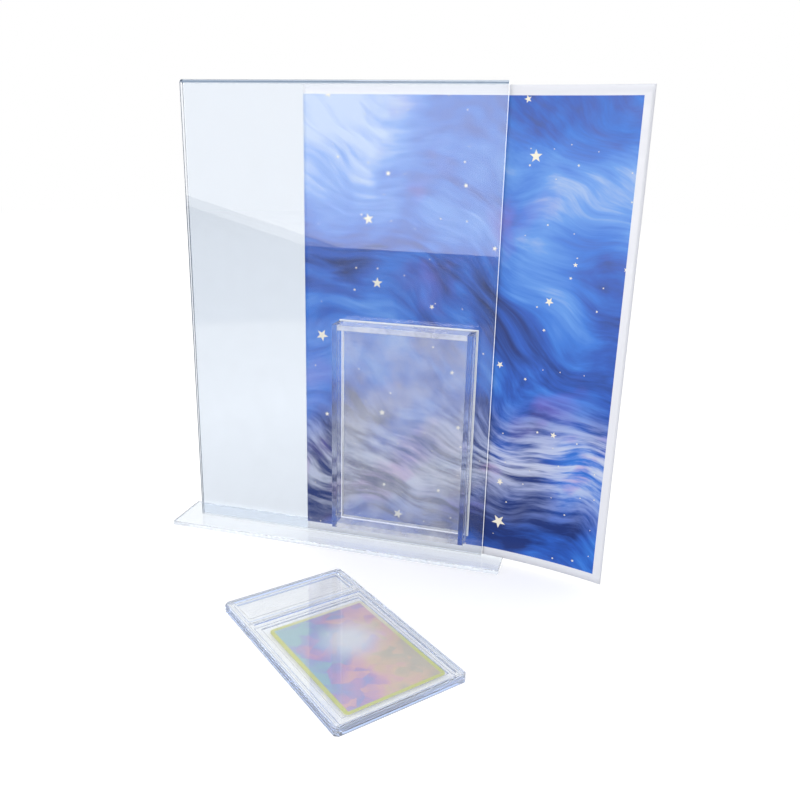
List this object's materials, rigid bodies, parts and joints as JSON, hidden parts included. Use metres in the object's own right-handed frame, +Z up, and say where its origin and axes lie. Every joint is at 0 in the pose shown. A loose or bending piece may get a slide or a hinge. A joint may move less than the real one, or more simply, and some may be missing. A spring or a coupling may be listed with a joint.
{
  "type": "trading card display case",
  "caption": "Clear display stand: a folded sleeve with a sideways-loading art insert on a base plate, a framed recess for a card holder, and the sealed two-shell holder with its card.",
  "frame": {"origin": "middle of the base plate's underside, on the table", "axes": "+X along the panel to the right as seen from the recess side, +Y to the back, +Z up"},
  "size_m": [0.317, 0.2223, 0.316],
  "materials": {
    "base_acrylic": "clear cast acrylic, 3 mm, polished edges",
    "sheet_acrylic": "clear acrylic sheet, 1.5 mm, heat-folded",
    "frame_acrylic": "clear cast acrylic bar, polished edges",
    "pane_acrylic": "clear acrylic with a slight haze",
    "printed_paper": "glossy photo paper, printed, white margin",
    "holder_plastic": "clear moulded polystyrene",
    "card_print": "coated card stock, printed"
  },
  "bodies": {
    "stand": {"base_plate": "base_acrylic", "folded_panel": "sheet_acrylic", "frame_left_bar": "frame_acrylic", "frame_right_bar": "frame_acrylic", "frame_top_bar": "frame_acrylic", "frame_bottom_bar": "frame_acrylic", "recess_back_pane": "pane_acrylic"},
    "insert": {"art_insert": "printed_paper"},
    "holder": {"slab_back_shell": "holder_plastic", "slab_front_shell": "holder_plastic", "trading_card": "card_print"}
  },
  "joints": [
    {"name": "insert_slide", "type": "slide", "parent": "stand", "child": "insert", "axis": [1, 0, 0], "range_m": [-0.0854, 0.06]},
    {"name": "holder_lift", "type": "slide", "parent": "stand", "child": "holder", "axis": [0, 0, 1], "range_m": [0, 0.15]}
  ]
}
